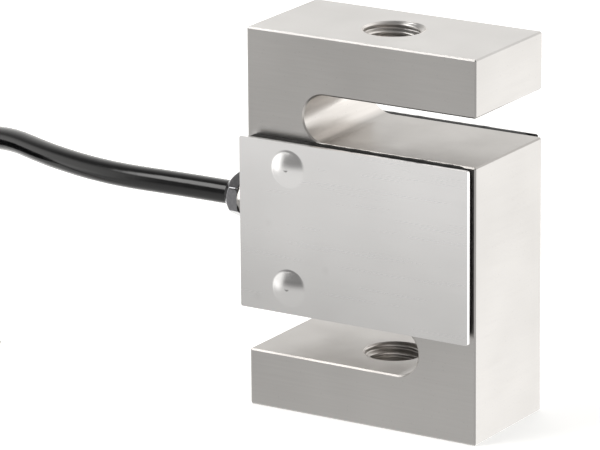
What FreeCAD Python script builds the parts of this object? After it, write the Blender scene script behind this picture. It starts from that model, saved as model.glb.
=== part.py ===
import FreeCAD, Part
import math
import os
import Sketcher
from FreeCAD import Placement, Rotation, Vector

# S type load cell: a slotted steel block, two cover sheets on sealing beads, the wiring behind them and the
# cable. Frame: origin on the load axis at the bottom face, +X to the open end of the upper slot, -Y to the
# front cover, +Z up the load axis. All sizes in millimetres.

doc = FreeCAD.newDocument("SLoadCell")
sheet = doc.addObject("Spreadsheet::Sheet", "sizes")

drivingSizes = {
    # block
    "bodyWidth": 50.8,
    "bodyDepth": 25.4,
    "bodyHeight": 76.2,
    "barHeight": 11.43,
    "slotHeight": 9.525,
    "columnWidth": 12.7,
    "edgeBreak": 0.3,
    "threadRadius": 6.0,
    "threadMouth": 0.25,
    # gauge window through the middle of the block
    "lobeOffset": 8.0,
    "lobeWidth": 13.0,
    "lobeCorner": 3.5,
    "beamThickness": 7.2,
    "neckHeight": 9.0,
    # covers and their sealing beads
    "coverThickness": 0.8,
    "coverCorner": 0.4,
    "domeRadius": 2.75,
    "domeRise": 0.9,
    "domeBlend": 1.0,
    "domeInset": 0.1,
    "domeFromEdge": 5.2,
    "dentLip": 0.01,
    "sealThickness": 2.2,
    "sealWidth": 2.5,
    "sealInset": 0.15,
    "sealInsetRight": 0.6,
    "backInsetRight": 2.1,
    "backInsetEnds": 0.3,
    # boards and their screws
    "boardThickness": 1.0,
    "boardPastScrew": 4.0,
    "boardPastGauge": 2.0,
    "boardOverhang": 2.2,
    "screwRadius": 1.0,
    "screwDepth": 5.0,
    "screwClearance": 0.1,
    "headRadius": 2.0,
    "headHeight": 1.6,
    "headRound": 0.5,
    "headSlotWidth": 0.5,
    "headSlotDepth": 0.7,
    # strain gauges, resistors and thin wires
    "gaugeLength": 5.0,
    "gaugeWidth": 4.0,
    "gaugeThickness": 0.15,
    "leadRadius": 0.15,
    "leadPitch": 2.4,
    "leadOnGauge": 1.0,
    "resistorLength": 3.2,
    "resistorWidth": 1.6,
    "resistorHeight": 0.6,
    "resistorPitch": 6.0,
    "linkRadius": 0.2,
    "linkPitch": 1.2,
    "linkInset": 1.9,
    "linkLift": 1.0,
    # cable gland
    "shankWall": 1.0,
    "shankLength": 6.0,
    "tapRunout": 0.5,
    "washerRadius": 5.2,
    "washerThickness": 2.0,
    "flangeRadius": 5.5,
    "flangeThickness": 1.2,
    "hexLength": 5.0,
    "spigotWall": 0.8,
    "spigotLength": 1.7,
    "nutGap": 0.1,
    "nutLength": 3.7,
    "nutWall": 0.65,
    "noseWall": 0.25,
    "threadClearance": 0.05,
    "glandSealLength": 3.0,
    "glandSealWall": 0.5,
    # cable
    "cableRadius": 2.4,
    "cableClearance": 0.1,
    "crimpLength": 2.0,
    "crimpWall": 0.8,
    "jacketPast": 0.5,
    "coreRadius": 0.45,
    "coreOffset": 0.95,
    "coreReachNear": 3.4,
    "coreReachFar": 5.0,
    "corePadPitch": 2.4,
    "drainRadius": 0.3,
    "drainOffset": 1.95,
    "drainReach": 2.6,
    "drainPad": 5.6,
    # hank of spare cable and its ties
    "hankBend": 18.6,
    "hankStraight": 61.3,
    "hankColumns": 2,
    "hankLayers": 6,
    "hankRound": 2.3,
    "tieThickness": 0.6,
    "tieWidth": 4.0,
    "tieClearance": 0.15,
    # cut end of the cable
    "sleeveLength": 12.0,
    "sleeveWall": 0.4,
    "sleevePast": 5.0,
    "tailStraight": 7.0,
    "tailBend": 18.0,
    "tailSpread": 3.0,
    "shieldRadius": 0.6,
}

# sizes that follow from the driving ones
derivedSizes = {
    "middleHeight": "=bodyHeight - 2 * barHeight - 2 * slotHeight",
    "centreHeight": "=bodyHeight / 2",
    "slotDepth": "=bodyWidth - columnWidth",
    "lobeHeight": "=middleHeight - 2 * beamThickness",
    "windowHalf": "=lobeOffset + lobeWidth / 2",
    "domeX": "=domeInset - windowHalf",
    "domeSpacing": "=middleHeight - 2 * domeFromEdge",
    "boardLeft": "=domeX - boardPastScrew",
    "boardRight": "=boardPastGauge - lobeOffset",
    "sheetBack": "=bodyDepth / 2 + sealThickness",
    "boardFace": "=bodyDepth / 2 + boardThickness",
    "flangeStart": "=bodyWidth / 2 + washerThickness",
    "hexStart": "=flangeStart + flangeThickness",
    "hexEnd": "=hexStart + hexLength",
    "nutStart": "=hexEnd + nutGap",
    "cableExit": "=nutStart + nutLength",
    "boreRadius": "=cableRadius + cableClearance",
    "shankRadius": "=boreRadius + shankWall",
    "spigotRadius": "=boreRadius + spigotWall",
    "noseRadius": "=boreRadius + noseWall",
    "hexFlats": "=2 * (spigotRadius + threadClearance + nutWall)",
    "hexCorner": "=hexFlats / sqrt(3)",
    "glandSealStart": "=hexEnd + spigotLength - glandSealLength",
    "glandSealRadius": "=cableRadius + glandSealWall",
    "jacketEnd": "=windowHalf - crimpLength - jacketPast",
    "hankWidth": "=hankColumns * 2 * cableRadius",
    "hankHeight": "=hankLayers * 2 * cableRadius",
}
for row, (alias, value) in enumerate({**drivingSizes, **derivedSizes}.items(), start=1):
    sheet.set("A%d" % row, alias)
    sheet.set("B%d" % row, str(value))
    sheet.setAlias("B%d" % row, alias)
doc.recompute()

near = 1e-3
pieces = []


def size(alias):
    return float(sheet.get(alias))


def finishPiece(piece, label):
    piece.Label = label
    pieces.append(piece)
    return piece


# ---- helpers for pieces made as PartDesign bodies ----

def newBody(name):
    return doc.addObject("PartDesign::Body", name)


def originFeature(body, role):
    return next(item for item in body.Origin.OriginFeatures if item.Role == role)


def newSketch(body, name, role, at=("", "", "")):
    # a sketch on one of the body's own origin planes, moved along the plane's own axes by three expressions
    sketch = body.newObject("Sketcher::SketchObject", name)
    sketch.AttachmentSupport = (originFeature(body, role), [""])
    sketch.MapMode = "FlatFace"
    for axis, expression in zip("xyz", at):
        if expression:
            sketch.setExpression("AttachmentOffset.Base." + axis, expression)
    return sketch


def addDimension(sketch, expression, kind, *where):
    index = sketch.addConstraint(Sketcher.Constraint(kind, *where, 1.0))
    sketch.setExpression("Constraints[%d]" % index, expression)


def addRectangle(sketch, width, height):
    # a rectangle centred on the sketch's origin
    first = sketch.GeometryCount
    corners = [Vector(-1, -1, 0), Vector(1, -1, 0), Vector(1, 1, 0), Vector(-1, 1, 0)]
    for here, there in zip(corners, corners[1:] + corners[:1]):
        sketch.addGeometry(Part.LineSegment(here, there), False)
    for side in range(4):
        sketch.addConstraint(Sketcher.Constraint("Coincident", first + side, 2, first + (side + 1) % 4, 1))
    for side in (0, 2):
        sketch.addConstraint(Sketcher.Constraint("Horizontal", first + side))
        sketch.addConstraint(Sketcher.Constraint("Vertical", first + side + 1))
    sketch.addConstraint(Sketcher.Constraint("Symmetric", first, 1, first + 2, 1, -1, 1))
    addDimension(sketch, width, "DistanceX", first, 1, first, 2)
    addDimension(sketch, height, "DistanceY", first + 1, 1, first + 1, 2)


def addCircle(sketch, radius):
    # a circle about the sketch's origin
    edge = sketch.addGeometry(Part.Circle(Vector(0, 0, 0), Vector(0, 0, 1), 1.0), False)
    sketch.addConstraint(Sketcher.Constraint("Coincident", edge, 3, -1, 1))
    addDimension(sketch, radius, "Radius", edge)


def addPad(body, name, sketch, length, symmetric=False, reverse=False):
    pad = body.newObject("PartDesign::Pad", name)
    pad.Profile = sketch
    pad.SideType = "Symmetric" if symmetric else "One side"
    pad.Reversed = reverse
    pad.setExpression("Length", length)
    doc.recompute()
    return pad


def addPocket(body, name, sketch, length="", reverse=False):
    # a pocket of one length, or through the whole body both ways when no length is given
    before = body.Shape.Volume
    pocket = body.newObject("PartDesign::Pocket", name)
    pocket.Profile = sketch
    pocket.Reversed = reverse
    if length:
        pocket.setExpression("Length", length)
    else:
        pocket.SideType = "Symmetric"
        pocket.Type = "ThroughAll"
    doc.recompute()
    if body.Shape.Volume > before - near:
        raise RuntimeError(name + " cuts nothing")
    return pocket


def addTurned(body, kind, name, sketch):
    # a revolution or a groove about the sketch's own vertical axis
    turned = body.newObject("PartDesign::" + kind, name)
    turned.Profile = sketch
    turned.ReferenceAxis = (sketch, ["V_Axis"])
    turned.Angle = 360
    doc.recompute()
    return turned


def addEdgeWork(body, kind, name, prop, expression, test):
    # a fillet or a chamfer on the edges of the body's last feature that pass the test
    feature = body.Tip
    edges = ["Edge%d" % (i + 1) for i, edge in enumerate(feature.Shape.Edges) if test(edge)]
    if not edges:
        raise RuntimeError(name + " finds no edge")
    work = body.newObject("PartDesign::" + kind, name)
    work.Base = (feature, edges)
    work.setExpression(prop, expression)
    doc.recompute()
    return work


def isKind(edge, kind):
    return not edge.Degenerated and edge.Curve.TypeId == kind


def runsAlong(edge, axis):
    return isKind(edge, "Part::GeomLine") and abs(edge.Curve.Direction.dot(axis)) > 0.999


def isRound(edge, radius):
    return isKind(edge, "Part::GeomCircle") and abs(edge.Curve.Radius - radius) < near


def turnToBack(body):
    # the back takes the same part as the front, turned half round about the line through the cell's middle
    body.Placement = Placement(Vector(0, 0, 0), Rotation(Vector(1, 0, 0), 180))
    body.setExpression("Placement.Base.z", "sizes.bodyHeight")


# ---- the block ----

def addSlot(body, name, centre, turned):
    # a slot with a full round end, drawn about the centre of that end
    sketch = newSketch(body, name + "Sketch", "XZ_Plane")
    if turned:
        sketch.AttachmentOffset = Placement(Vector(0, 0, 0), Rotation(Vector(0, 0, 1), 180))
    for axis, expression in zip("xy", centre):
        sketch.setExpression("AttachmentOffset.Base." + axis, expression)
    low = sketch.addGeometry(Part.LineSegment(Vector(0, -1, 0), Vector(4, -1, 0)), False)
    mouth = sketch.addGeometry(Part.LineSegment(Vector(4, -1, 0), Vector(4, 1, 0)), False)
    high = sketch.addGeometry(Part.LineSegment(Vector(4, 1, 0), Vector(0, 1, 0)), False)
    circle = Part.Circle(Vector(0, 0, 0), Vector(0, 0, 1), 1.0)
    end = sketch.addGeometry(Part.ArcOfCircle(circle, math.pi / 2, 3 * math.pi / 2), False)
    sketch.addConstraint(Sketcher.Constraint("Coincident", end, 3, -1, 1))
    sketch.addConstraint(Sketcher.Constraint("Coincident", low, 2, mouth, 1))
    sketch.addConstraint(Sketcher.Constraint("Coincident", mouth, 2, high, 1))
    sketch.addConstraint(Sketcher.Constraint("Tangent", high, 2, end, 1))
    sketch.addConstraint(Sketcher.Constraint("Tangent", low, 1, end, 2))
    sketch.addConstraint(Sketcher.Constraint("Horizontal", low))
    sketch.addConstraint(Sketcher.Constraint("Horizontal", high))
    sketch.addConstraint(Sketcher.Constraint("Vertical", mouth))
    addDimension(sketch, "sizes.slotHeight / 2", "Radius", end)
    addDimension(sketch, "sizes.slotDepth", "DistanceX", low, 1, low, 2)
    addPocket(body, name, sketch)


def makeBlock():
    body = newBody("Block")
    outline = newSketch(body, "BlockOutline", "XZ_Plane", ("", "sizes.bodyHeight / 2", ""))
    addRectangle(outline, "sizes.bodyWidth", "sizes.bodyHeight")
    addPad(body, "BlockPad", outline, "sizes.bodyDepth", symmetric=True)

    endX = "(sizes.bodyWidth / 2 - sizes.slotDepth + sizes.slotHeight / 2)"
    slotZ = "sizes.barHeight + sizes.slotHeight / 2"
    addSlot(body, "UpperSlot", (endX, "sizes.bodyHeight - (" + slotZ + ")"), False)
    addSlot(body, "LowerSlot", ("-" + endX, slotZ), True)

    along = Vector(0, 1, 0)
    outside = size("bodyWidth") / 2 - size("edgeBreak")
    addEdgeWork(body, "Chamfer", "EdgeBreak", "Size", "sizes.edgeBreak",
                lambda edge: not runsAlong(edge, along) or abs(edge.CenterOfMass.x) > outside)

    for side, sign in (("Left", "-"), ("Right", "")):
        lobe = newSketch(body, side + "LobeSketch", "XZ_Plane",
                         (sign + "sizes.lobeOffset", "sizes.centreHeight", ""))
        addRectangle(lobe, "sizes.lobeWidth", "sizes.lobeHeight")
        addPocket(body, side + "Lobe", lobe)
    lobeTop = size("lobeHeight") / 2
    addEdgeWork(body, "Fillet", "LobeCorners", "Radius", "sizes.lobeCorner",
                lambda edge: runsAlong(edge, along)
                and abs(abs(edge.CenterOfMass.z - size("centreHeight")) - lobeTop) < near)
    neck = newSketch(body, "NeckSketch", "XZ_Plane", ("", "sizes.centreHeight", ""))
    addRectangle(neck, "2 * sizes.lobeOffset", "sizes.neckHeight")
    addPocket(body, "Neck", neck)

    for name, height, upward in (("UpperThread", "sizes.bodyHeight", False), ("LowerThread", "", True)):
        bore = newSketch(body, name + "Sketch", "XY_Plane", ("", "", height))
        addCircle(bore, "sizes.threadRadius")
        addPocket(body, name, bore, "sizes.barHeight + sizes.slotHeight / 2", reverse=upward)
    addEdgeWork(body, "Chamfer", "ThreadMouths", "Size", "sizes.threadMouth",
                lambda edge: isRound(edge, size("threadRadius")))

    leftFace = "-sizes.bodyWidth / 2"
    for name, radius, length in (("GlandTap", "sizes.shankRadius", "sizes.shankLength + sizes.tapRunout"),
                                 ("CableBore", "sizes.boreRadius", "sizes.bodyWidth / 2 - sizes.lobeOffset")):
        bore = newSketch(body, name + "Sketch", "YZ_Plane", ("", "sizes.centreHeight", leftFace))
        addCircle(bore, radius)
        addPocket(body, name, bore, length, reverse=True)

    for face, offset, backward in (("Front", "sizes.bodyDepth / 2", False),
                                   ("Back", "-sizes.bodyDepth / 2", True)):
        for end, sign in (("Low", "-"), ("High", "+")):
            height = "sizes.centreHeight " + sign + " sizes.domeSpacing / 2"
            tap = newSketch(body, face + end + "TapSketch", "XZ_Plane", ("sizes.domeX", height, offset))
            addCircle(tap, "sizes.screwRadius")
            addPocket(body, face + end + "Tap", tap, "sizes.screwDepth + sizes.tapRunout", reverse=backward)
    return finishPiece(body, "load_cell_body")


# ---- covers, seals, boards and screws: the same parts in front and at the back ----

def addDomeOutline(sketch, radius, rise, start):
    # half of a dome's section: a flat base, a short wall of length start at its rim and a round cap over both
    base = sketch.addGeometry(Part.LineSegment(Vector(0, 0, 0), Vector(2, 0, 0)), False)
    wall = sketch.addGeometry(Part.LineSegment(Vector(2, 0, 0), Vector(2, -1, 0)), False)
    circle = Part.Circle(Vector(0, 1, 0), Vector(0, 0, 1), 3.0)
    cap = sketch.addGeometry(Part.ArcOfCircle(circle, 1.5 * math.pi, 1.7 * math.pi), False)
    axis = sketch.addGeometry(Part.LineSegment(Vector(0, -2, 0), Vector(0, 0, 0)), False)
    sketch.addConstraint(Sketcher.Constraint("Coincident", base, 1, -1, 1))
    sketch.addConstraint(Sketcher.Constraint("Coincident", base, 2, wall, 1))
    sketch.addConstraint(Sketcher.Constraint("Coincident", wall, 2, cap, 2))
    sketch.addConstraint(Sketcher.Constraint("Coincident", cap, 1, axis, 1))
    sketch.addConstraint(Sketcher.Constraint("Coincident", axis, 2, base, 1))
    sketch.addConstraint(Sketcher.Constraint("PointOnObject", cap, 3, -2))
    sketch.addConstraint(Sketcher.Constraint("Horizontal", base))
    sketch.addConstraint(Sketcher.Constraint("Vertical", wall))
    sketch.addConstraint(Sketcher.Constraint("Vertical", axis))
    addDimension(sketch, radius, "DistanceX", base, 1, base, 2)
    addDimension(sketch, start, "DistanceY", wall, 2, wall, 1)
    addDimension(sketch, start + " + " + rise, "DistanceY", axis, 1, axis, 2)


def makeCover(label, back):
    # the back cover is a little smaller, and stays clear of the open end of the upper slot
    body = newBody("Cover")
    insetRight, insetEnds = ("sizes.backInsetRight", "sizes.backInsetEnds") if back else ("0", "0")
    outline = newSketch(body, "CoverSheetSketch", "XZ_Plane",
                        ("-(" + insetRight + ") / 2", "sizes.centreHeight", "sizes.sheetBack"))
    addRectangle(outline, "sizes.bodyWidth - " + insetRight, "sizes.middleHeight - 2 * " + insetEnds)
    addPad(body, "CoverSheet", outline, "sizes.coverThickness")
    addEdgeWork(body, "Fillet", "CoverCorners", "Radius", "sizes.coverCorner",
                lambda edge: runsAlong(edge, Vector(0, 1, 0)))
    for end, sign in (("Low", "-"), ("High", "+")):
        centre = ("sizes.domeX", "-sizes.sheetBack", "sizes.centreHeight " + sign + " sizes.domeSpacing / 2")
        dome = newSketch(body, end + "DomeSketch", "XY_Plane", centre)
        addDomeOutline(dome, "sizes.domeRadius + sizes.coverThickness", "sizes.domeRise",
                       "sizes.coverThickness")
        addTurned(body, "Revolution", end + "Dome", dome)
        dent = newSketch(body, end + "DentSketch", "XY_Plane", centre)
        addDomeOutline(dent, "sizes.domeRadius", "sizes.domeRise", "sizes.dentLip")
        addTurned(body, "Groove", end + "Dent", dent)
    front = size("sheetBack") + size("coverThickness")
    addEdgeWork(body, "Fillet", "DomeBlends", "Radius", "sizes.domeBlend",
                lambda edge: isRound(edge, size("domeRadius") + size("coverThickness"))
                and abs(edge.CenterOfMass.y + front) < near)
    if back:
        turnToBack(body)
    finishPiece(body, label)


def makeSeal(label, back):
    # a bead round the cover's edge, set in a little more at the open end of the upper slot
    body = newBody("Seal")
    right = "(sizes.sealInsetRight + sizes.backInsetRight)" if back else "sizes.sealInsetRight"
    ends = "(sizes.sealInset + sizes.backInsetEnds)" if back else "sizes.sealInset"
    width = "sizes.bodyWidth - " + right
    height = "sizes.middleHeight - 2 * " + ends
    sketch = newSketch(body, "SealSketch", "XZ_Plane",
                       ("-" + right + " / 2", "sizes.centreHeight", "sizes.bodyDepth / 2"))
    addRectangle(sketch, width, height)
    addRectangle(sketch, width + " - 2 * sizes.sealWidth", height + " - 2 * sizes.sealWidth")
    addPad(body, "SealBead", sketch, "sizes.sealThickness")
    if back:
        turnToBack(body)
    finishPiece(body, label)


def makeBoard(label, back):
    body = newBody("Board")
    middle = "(sizes.boardLeft + sizes.boardRight) / 2"
    sketch = newSketch(body, "BoardSketch", "XZ_Plane", (middle, "sizes.centreHeight", "sizes.bodyDepth / 2"))
    addRectangle(sketch, "sizes.boardRight - sizes.boardLeft", "sizes.domeSpacing + 2 * sizes.boardOverhang")
    addPad(body, "BoardPlate", sketch, "sizes.boardThickness")
    for end, sign in (("Low", "-"), ("High", "+")):
        height = "sizes.centreHeight " + sign + " sizes.domeSpacing / 2"
        hole = newSketch(body, end + "HoleSketch", "XZ_Plane", ("sizes.domeX", height, "sizes.boardFace"))
        addCircle(hole, "sizes.screwRadius + sizes.screwClearance")
        addPocket(body, end + "Hole", hole, "sizes.boardThickness")
    if back:
        turnToBack(body)
    finishPiece(body, label)


def makeScrew(label, sign, back):
    body = newBody("Screw")
    height = "sizes.centreHeight " + sign + " sizes.domeSpacing / 2"
    head = newSketch(body, "HeadSketch", "XZ_Plane", ("sizes.domeX", height, "sizes.boardFace"))
    addCircle(head, "sizes.headRadius")
    addPad(body, "Head", head, "sizes.headHeight")
    top = size("boardFace") + size("headHeight")
    addEdgeWork(body, "Fillet", "HeadRound", "Radius", "sizes.headRound",
                lambda edge: isRound(edge, size("headRadius")) and abs(edge.CenterOfMass.y + top) < near)
    slot = newSketch(body, "DriverSlotSketch", "XZ_Plane",
                     ("sizes.domeX", height, "sizes.boardFace + sizes.headHeight"))
    addRectangle(slot, "3 * sizes.headRadius", "sizes.headSlotWidth")
    addPocket(body, "DriverSlot", slot, "sizes.headSlotDepth")
    shank = newSketch(body, "ShankSketch", "XZ_Plane", ("sizes.domeX", height, "sizes.boardFace"))
    addCircle(shank, "sizes.screwRadius")
    addPad(body, "Shank", shank, "sizes.boardThickness + sizes.screwDepth", reverse=True)
    if back:
        turnToBack(body)
    finishPiece(body, label)


# ---- strain gauges and resistors ----

def makeBox(name, label, lengths, corner):
    box = doc.addObject("Part::Box", name)
    for prop, expression in zip(("Length", "Width", "Height"), lengths):
        box.setExpression(prop, expression)
    for axis, expression in zip("xyz", corner):
        box.setExpression("Placement.Base." + axis, expression)
    finishPiece(box, label)


def makeGauges():
    lengths = ("sizes.gaugeLength", "sizes.gaugeWidth", "sizes.gaugeThickness")
    for side, sign in (("left", "-"), ("right", "")):
        x = sign + "sizes.lobeOffset - sizes.gaugeLength / 2"
        y = "-sizes.gaugeWidth / 2"
        makeBox("Gauge", "strain_gauge_upper_" + side, lengths,
                (x, y, "sizes.centreHeight + sizes.lobeHeight / 2 - sizes.gaugeThickness"))
        makeBox("Gauge", "strain_gauge_lower_" + side, lengths,
                (x, y, "sizes.centreHeight - sizes.lobeHeight / 2"))


def makeResistors():
    for place, label in enumerate(("zero_resistor", "span_resistor", "bridge_resistor"), start=-1):
        makeBox("Resistor", label,
                ("sizes.resistorLength", "sizes.resistorHeight", "sizes.resistorWidth"),
                ("-sizes.windowHalf + sizes.resistorLength / 2", "sizes.boardFace",
                 "sizes.centreHeight + %d * sizes.resistorPitch - sizes.resistorWidth / 2" % place))


# ---- cable gland ----

def towardsExit(solid, start):
    # a Part primitive whose axis runs along -X from start, on the line of the cable
    solid.Placement = Placement(Vector(0, 0, 0), Rotation(Vector(0, 1, 0), -90))
    solid.setExpression("Placement.Base.x", "-(" + start + ")")
    solid.setExpression("Placement.Base.z", "sizes.centreHeight")


def makeRod(name, radius, start, length):
    rod = doc.addObject("Part::Cylinder", name)
    rod.setExpression("Radius", radius)
    rod.setExpression("Height", length)
    towardsExit(rod, start)
    return rod


def makeHexagon(name, start, length, turn):
    # with no turn about its own axis, the hexagon has a corner at its top
    prism = doc.addObject("Part::Prism", name)
    prism.Polygon = 6
    prism.setExpression("Circumradius", "sizes.hexCorner")
    prism.setExpression("Height", length)
    towardsExit(prism, start)
    prism.Placement.Rotation = prism.Placement.Rotation.multiply(Rotation(Vector(0, 0, 1), turn))
    return prism


def makeCut(name, base, tool):
    cut = doc.addObject("Part::Cut", name)
    cut.Base = base
    cut.Tool = tool
    return cut


def joinAll(name, shapes):
    joined = doc.addObject("Part::MultiFuse", name)
    joined.Shapes = shapes
    return joined


def makeRing(label, outer, inner, start, length):
    rim = makeRod("RingRim", outer, start, length)
    bore = makeRod("RingBore", inner, start, length)
    finishPiece(makeCut("Ring", rim, bore), label)


def makeGlandBody():
    shank = makeRod("GlandShank", "sizes.shankRadius", "sizes.bodyWidth / 2 - sizes.shankLength",
                    "sizes.shankLength + sizes.washerThickness")
    flange = makeRod("GlandFlange", "sizes.flangeRadius", "sizes.flangeStart", "sizes.flangeThickness")
    hexagon = makeHexagon("GlandHexagon", "sizes.hexStart", "sizes.hexLength", 30)
    spigot = makeRod("GlandSpigot", "sizes.spigotRadius", "sizes.hexEnd", "sizes.spigotLength")
    solid = joinAll("GlandSolid", [shank, flange, hexagon, spigot])
    bore = makeRod("GlandBore", "sizes.boreRadius", "sizes.bodyWidth / 2 - sizes.shankLength",
                   "sizes.shankLength + sizes.cableExit - sizes.bodyWidth / 2")
    seat = makeRod("GlandSealSeat", "sizes.glandSealRadius", "sizes.glandSealStart", "sizes.glandSealLength")
    finishPiece(makeCut("GlandBody", solid, joinAll("GlandBores", [bore, seat])), "gland_body")


def makeNut():
    # a hexagon with a 45 degree nose: where the cone meets the flats it leaves curved edges
    hexagon = makeHexagon("NutHexagon", "sizes.nutStart", "sizes.nutLength", 0)
    nose = doc.addObject("Part::Cone", "NutNose")
    nose.setExpression("Radius1", "sizes.noseRadius + sizes.nutLength")
    nose.setExpression("Radius2", "sizes.noseRadius")
    nose.setExpression("Height", "sizes.nutLength")
    towardsExit(nose, "sizes.nutStart")
    solid = doc.addObject("Part::MultiCommon", "NutSolid")
    solid.Shapes = [hexagon, nose]
    thread = makeRod("NutThread", "sizes.spigotRadius + sizes.threadClearance", "sizes.nutStart",
                     "sizes.spigotLength")
    bore = makeRod("NutBore", "sizes.boreRadius", "sizes.nutStart", "sizes.nutLength")
    finishPiece(makeCut("Nut", solid, joinAll("NutBores", [thread, bore])), "gland_nut")


def makeGland():
    makeRing("gland_washer", "sizes.washerRadius", "sizes.shankRadius", "sizes.bodyWidth / 2",
             "sizes.washerThickness")
    makeGlandBody()
    makeRing("gland_seal", "sizes.glandSealRadius", "sizes.cableRadius", "sizes.glandSealStart",
             "sizes.glandSealLength")
    makeNut()


# ---- cables and wires ----

bendShare = 0.45  # of the shorter run


def bendAt(before, corner, after):
    # the arc that rounds a corner: it reaches along each run by the share of the shorter one
    toBefore = (before - corner).normalize()
    toAfter = (after - corner).normalize()
    halfTurn = (math.pi - toBefore.getAngle(toAfter)) / 2
    reach = bendShare * min((before - corner).Length, (after - corner).Length)
    radius = reach / math.tan(halfTurn)
    middle = corner + (toBefore + toAfter).normalize() * (radius / math.cos(halfTurn) - radius)
    return corner + toBefore * reach, middle, corner + toAfter * reach, radius


def routeWire(points):
    edges = []
    radii = []
    last = points[0]
    for before, corner, after in zip(points, points[1:], points[2:]):
        start, middle, end, radius = bendAt(before, corner, after)
        edges.append(Part.LineSegment(last, start).toShape())
        edges.append(Part.Arc(start, middle, end).toShape())
        radii.append(radius)
        last = end
    edges.append(Part.LineSegment(last, points[-1]).toShape())
    return Part.Wire(edges), radii


def makeTube(points, radius, report=""):
    # a round solid along straight runs and tangent arcs; a report prints its bends
    wire, radii = routeWire(points)
    profile = Part.Wire([Part.makeCircle(radius, points[0], points[1] - points[0])])
    tube = wire.makePipeShell([profile], True, False)
    share = tube.Volume / (math.pi * radius ** 2 * wire.Length)
    if abs(share - 1) > 0.01:  # a tube that has come out wrong holds too much or too little
        raise RuntimeError("a tube's volume is %.3f of its section times its length" % share)
    if report:
        print(report, "length %.1f mm, radii" % wire.Length, " ".join("%.1f" % r for r in radii))
    return tube


def addShape(name, label, shape):
    feature = doc.addObject("Part::Feature", name)
    feature.Shape = shape
    feature.Placement = Placement()
    finishPiece(feature, label)


def makeInnerCable():
    # the jacket through the gland and the block, and the sleeve crimped on it inside the window
    jacket = makeRod("InnerCable", "sizes.cableRadius", "sizes.jacketEnd",
                     "sizes.cableExit - sizes.jacketEnd")
    finishPiece(jacket, "cable_inner_end")
    makeRing("cable_crimp", "sizes.cableRadius + sizes.crimpWall", "sizes.cableRadius",
             "sizes.windowHalf - sizes.crimpLength", "sizes.crimpLength")


def makeCores():
    # four cores and the shield's drain wire, from the jacket's end to the back of the front board
    middle = size("centreHeight")
    face = -size("bodyDepth") / 2
    start = -size("jacketEnd")
    offset = size("coreOffset")
    pitch = size("corePadPitch")
    inner = start + size("coreReachNear")
    outer = start + size("coreReachFar")
    for label, side, level, x, pad in (("core_red", -1, 1, inner, 0.5), ("core_white", 1, 1, outer, 1.5),
                                       ("core_green", -1, -1, inner, -0.5),
                                       ("core_black", 1, -1, outer, -1.5)):
        y = side * offset
        z = middle + level * offset
        padHeight = middle + pad * pitch
        points = [Vector(start, y, z), Vector(x, y, z), Vector(x, face / 2, padHeight),
                  Vector(x, face, padHeight)]
        addShape("Core", label, makeTube(points, size("coreRadius")))
    x = start + size("drainReach")
    z = middle - size("drainOffset")
    padHeight = middle - size("drainPad")
    points = [Vector(start, 0, z), Vector(x, 0, z), Vector(x, face / 2, padHeight),
              Vector(x, face, padHeight)]
    addShape("Drain", "drain_wire", makeTube(points, size("drainRadius")))


def makeGaugeLeads():
    # two leads a gauge: straight to the board from the left lobe, and from the right lobe along its wall and
    # through the neck, on routes chosen by hand that keep off the cores
    middle = size("centreHeight")
    face = -size("bodyDepth") / 2
    lobe = size("lobeOffset")
    radius = size("leadRadius")
    onGauge = -size("leadOnGauge")
    drop = size("lobeHeight") / 2 - size("gaugeThickness") - radius
    boardEdge = size("boardRight")
    for level, up in (("upper", 1), ("lower", -1)):
        left = []
        right = []
        for lane in (-0.5, 0.5):
            x = lane * size("leadPitch")
            z = middle + up * drop
            left.append(makeTube([Vector(x - lobe, onGauge, z), Vector(x - lobe, face, z)], radius))
            wall = lobe - size("lobeWidth") / 2 + 0.7
            corner = middle + up * (drop - 1.6)
            lift = middle + up * (3.4 - 0.8 * lane)
            pad = Vector(boardEdge - 0.9 - 0.4 * lane, face, middle + up * (5.6 + 1.2 * lane))
            right.append(makeTube([Vector(lobe + x, onGauge, z), Vector(lobe + x, lane - 5, z),
                                   Vector(wall + 0.5, lane - 7.5, corner), Vector(wall, lane - 9, lift),
                                   Vector(-2.5, lane - 9.4, lift), pad + Vector(0, 1.8, 0), pad], radius))
        addShape("Leads", "gauge_leads_%s_left" % level, Part.makeCompound(left))
        addShape("Leads", "gauge_leads_%s_right" % level, Part.makeCompound(right))


def makeLinks():
    # straight link wires from board to board through the left lobe, above its floor
    face = -size("bodyDepth") / 2
    lowest = size("centreHeight") - size("lobeHeight") / 2 + size("linkLift")
    wires = []
    for place in range(3):
        start = Vector(size("linkInset") - size("windowHalf"), face,
                       lowest + place * size("linkPitch"))
        wires.append(makeTube([start, start - Vector(0, 2 * face, 0)], size("linkRadius")))
    addShape("Links", "board_links", Part.makeCompound(wires))


# ---- free cable, hank of spare cable with its ties, and the cut end ----

cableRadius = size("cableRadius")
outerTurn = size("hankBend") + size("hankWidth") / 2 - cableRadius
lowTurn = size("tieThickness") + cableRadius
topTurn = lowTurn + size("hankHeight") - 2 * cableRadius

# the free cable's route, chosen by hand, ends level on the hank's lowest and outermost turn
cableRoute = [Vector(-size("cableExit"), 0, size("centreHeight")),
              Vector(-49, 0, size("centreHeight")),
              Vector(-67, 1.4, 37.3),
              Vector(-85, 6.6, 37.1),
              Vector(-102, 15.0, 36.9),
              Vector(-118, 20.8, 32.6),
              Vector(-133, 23.2, 22.0),
              Vector(-147, 23.6, 10.6),
              Vector(-162, 23.5, 4.4),
              Vector(-180, 23.5, lowTurn)]
landing = cableRoute[-1]
landingPast = 4.0  # past the start of the hank's straight side
hankCentre = Vector(landing.x + landingPast - size("hankStraight") / 2, landing.y - outerTurn, 0)
runOn = 14.0  # how far each tube runs on inside the hank

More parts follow.
